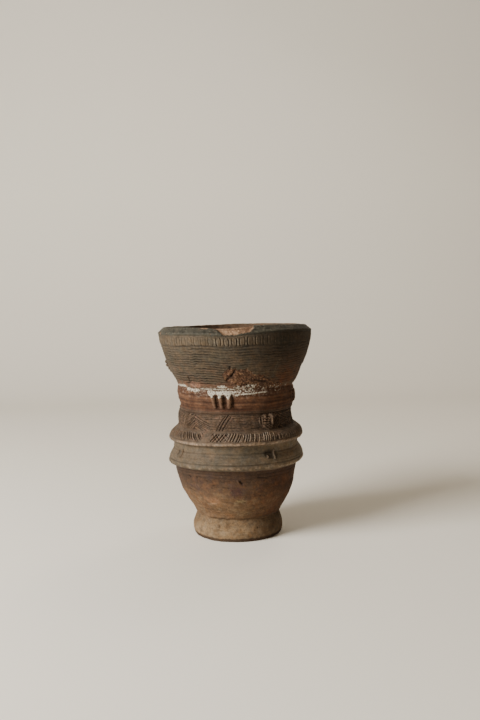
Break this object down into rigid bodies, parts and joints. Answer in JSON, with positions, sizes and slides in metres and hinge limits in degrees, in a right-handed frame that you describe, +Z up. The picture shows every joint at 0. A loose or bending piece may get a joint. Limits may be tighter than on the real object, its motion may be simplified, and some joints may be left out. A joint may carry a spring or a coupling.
{
  "type": "clay goblet drum body",
  "caption": "Hand-built clay goblet drum shell, open right through: flared head, banded waist, two cordons round the girdle, round belly and ring foot.",
  "frame": {"origin": "centre of the foot's resting plane, on the turning axis", "axes": "+Z up along the turning axis from the foot to the mouth, -Y towards the front with the broken place in the lip, +X to the right seen from the front"},
  "size_m": [0.2576, 0.2575, 0.35],
  "materials": {
    "rim_clay": "matte",
    "head_clay": "matte",
    "collar_slip": "matte",
    "band_clay": "matte",
    "cordon_clay": "matte",
    "girdle_clay": "matte",
    "belly_clay": "matte",
    "foot_clay": "matte",
    "applied_clay": "matte"
  },
  "bodies": {
    "root": {"rim_coil": "rim_clay", "head_bowl": "head_clay", "waist_collar": "collar_slip", "patterned_band": "band_clay", "girdle_wall": "girdle_clay", "upper_cordon": "cordon_clay", "lower_cordon": "cordon_clay", "belly_bowl": "belly_clay", "foot_ring": "foot_clay", "boss_back_left": "applied_clay", "boss_back_right": "applied_clay", "boss_front_left": "applied_clay", "boss_front_right": "applied_clay", "girdle_strip_back_left_a": "applied_clay", "girdle_strip_back_left_b": "applied_clay", "girdle_strip_back_right_a": "applied_clay", "girdle_strip_back_right_b": "applied_clay", "girdle_strip_front_left_a": "applied_clay", "girdle_strip_front_left_b": "applied_clay", "girdle_strip_front_right_a": "applied_clay", "girdle_strip_front_right_b": "applied_clay", "side_lug": "applied_clay", "waist_strip_back_a": "applied_clay", "waist_strip_back_b": "applied_clay", "waist_strip_back_c": "applied_clay", "waist_strip_front_a": "applied_clay", "waist_strip_front_b": "applied_clay", "waist_strip_front_c": "applied_clay", "waist_strip_left_a": "applied_clay", "waist_strip_left_b": "applied_clay", "waist_strip_left_c": "applied_clay", "waist_strip_right_a": "applied_clay", "waist_strip_right_b": "applied_clay", "waist_strip_right_c": "applied_clay"}
  },
  "joints": []
}
